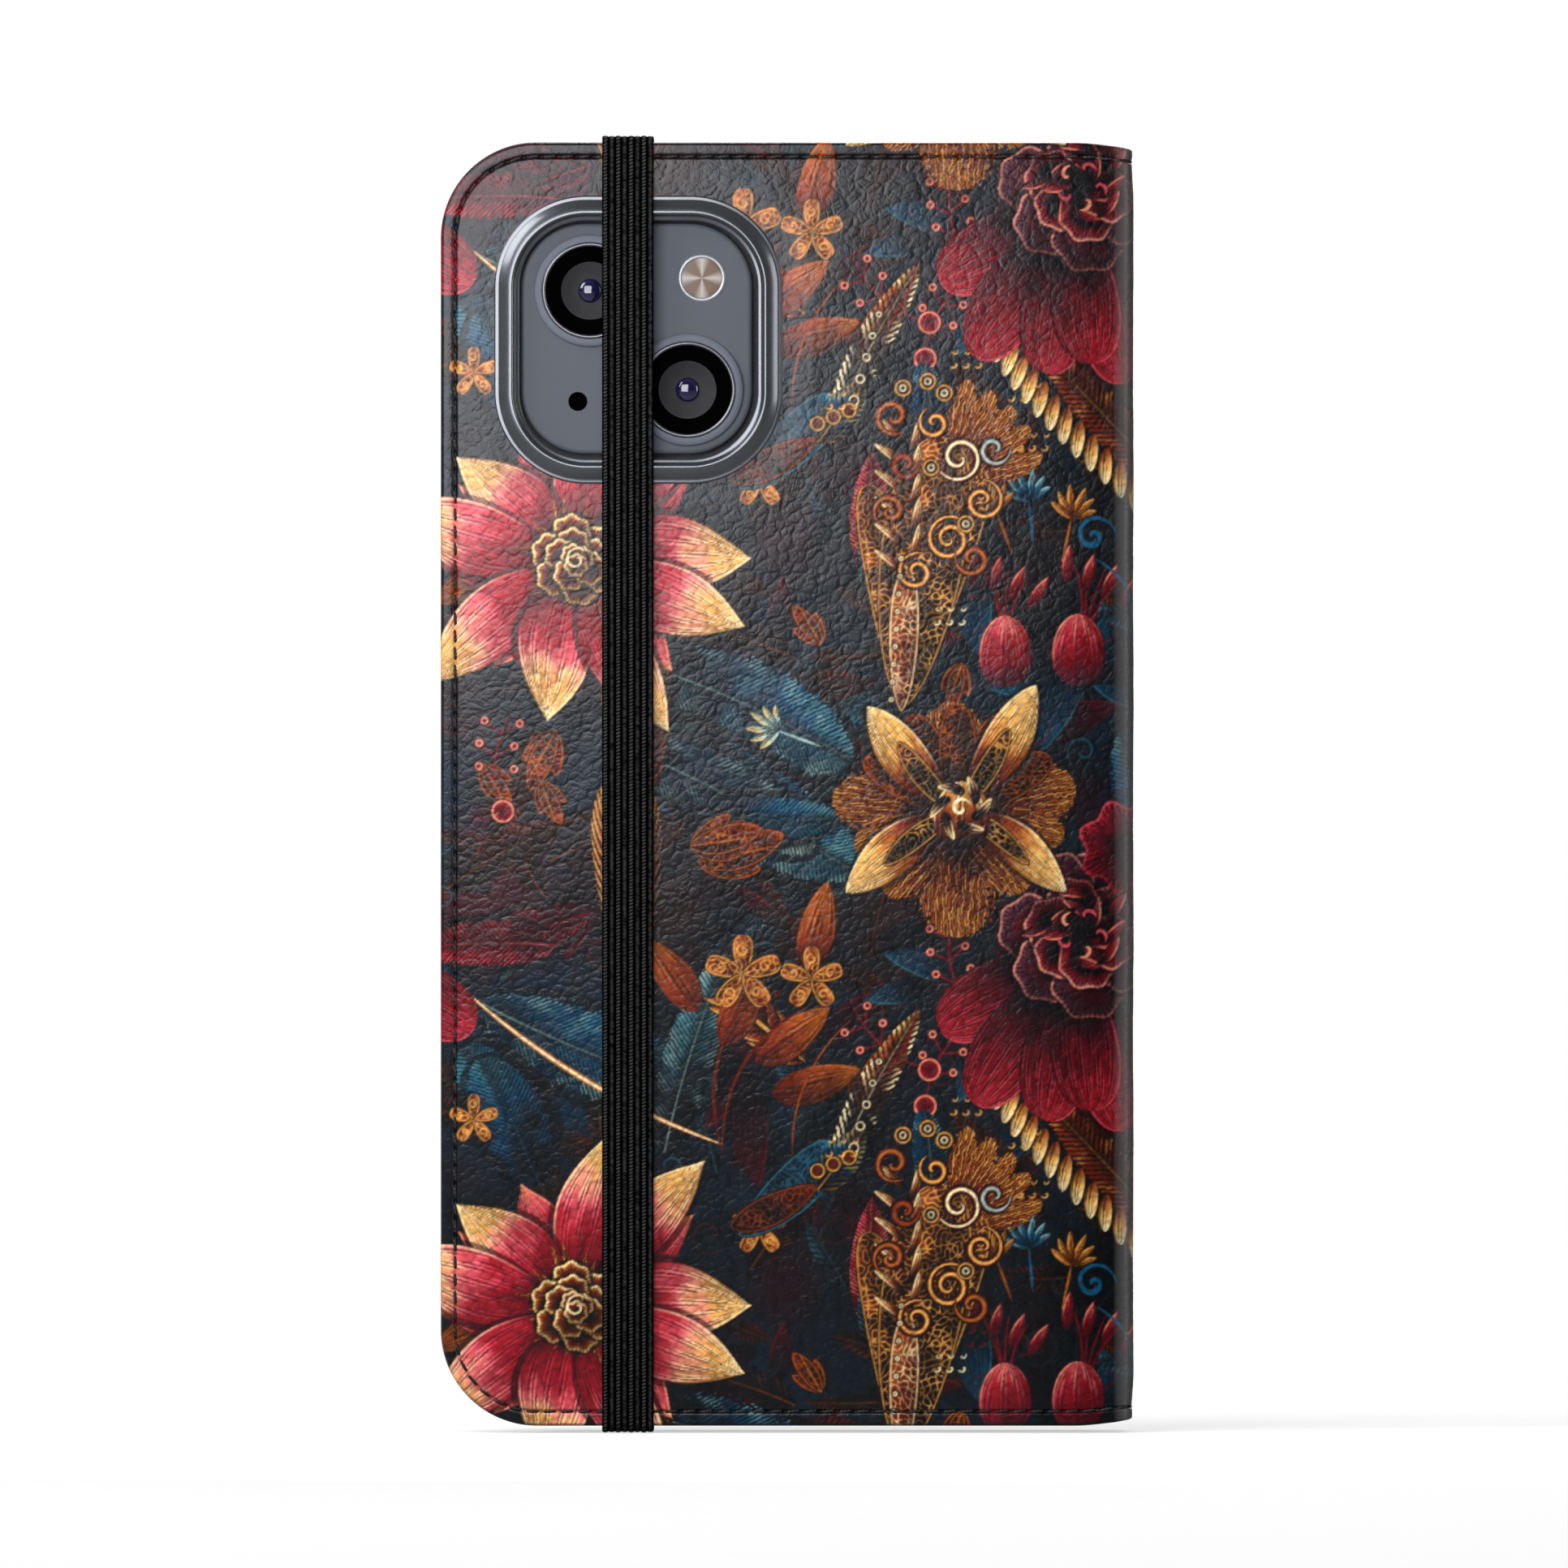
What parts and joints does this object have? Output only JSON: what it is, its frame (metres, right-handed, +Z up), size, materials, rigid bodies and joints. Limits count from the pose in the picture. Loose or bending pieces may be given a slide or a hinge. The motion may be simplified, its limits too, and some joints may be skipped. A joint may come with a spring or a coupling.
{
  "type": "folding phone case",
  "caption": "Book-style leather phone case with printed cover, camera window bezel, phone tray, card pockets and an elastic strap closure.",
  "frame": {"origin": "bottom centre of the closed case's box, at the lowest point of the strap's loop", "axes": "+Z up the case's height, +X from the free edge to the spine, +Y from the back cover with the camera window to the front cover"},
  "size_m": [0.0834, 0.0194, 0.1566],
  "materials": {
    "printed_leather": "pebbled leather, satin, floral print",
    "pocket_leather": "fine grain, satin",
    "lining": "brushed microfibre, matte",
    "stiffener": "pressed dark grey board",
    "thread": "twisted polyester",
    "adhesive": "foam tape",
    "tray": "soft satin moulding",
    "bezel": "smoky gloss",
    "elastic": "ribbed knitted elastic"
  },
  "bodies": {
    "back": {"back_skin": "printed_leather", "back_board": "stiffener", "back_lining": "lining", "back_stitching": "thread", "fold_roll_back": "printed_leather", "tray_pad": "adhesive", "phone_tray": "tray", "camera_bezel": "bezel"},
    "spine": {"spine_skin": "printed_leather", "spine_board": "stiffener", "spine_lining": "lining", "spine_stitching": "thread"},
    "front": {"front_skin": "printed_leather", "front_board": "stiffener", "front_lining": "lining", "front_stitching": "thread", "fold_roll_front": "printed_leather", "cash_pocket": "pocket_leather", "card_pocket_1": "pocket_leather", "card_pocket_2": "pocket_leather", "card_pocket_3": "pocket_leather", "pocket_stitching": "thread", "elastic_strap": "elastic"}
  },
  "joints": [
    {"name": "spine_hinge", "type": "hinge", "parent": "back", "child": "spine", "pos_m": [0.0413, -0.00745, 0.0783], "axis": [0, 0, -1], "range_deg": [0, 180], "deforming": ["elastic_strap"]},
    {"name": "cover_hinge", "type": "hinge", "parent": "spine", "child": "front", "pos_m": [0.0413, 0.00925, 0.0783], "axis": [0, 0, -1], "range_deg": [0, 180], "deforming": ["elastic_strap"]}
  ]
}
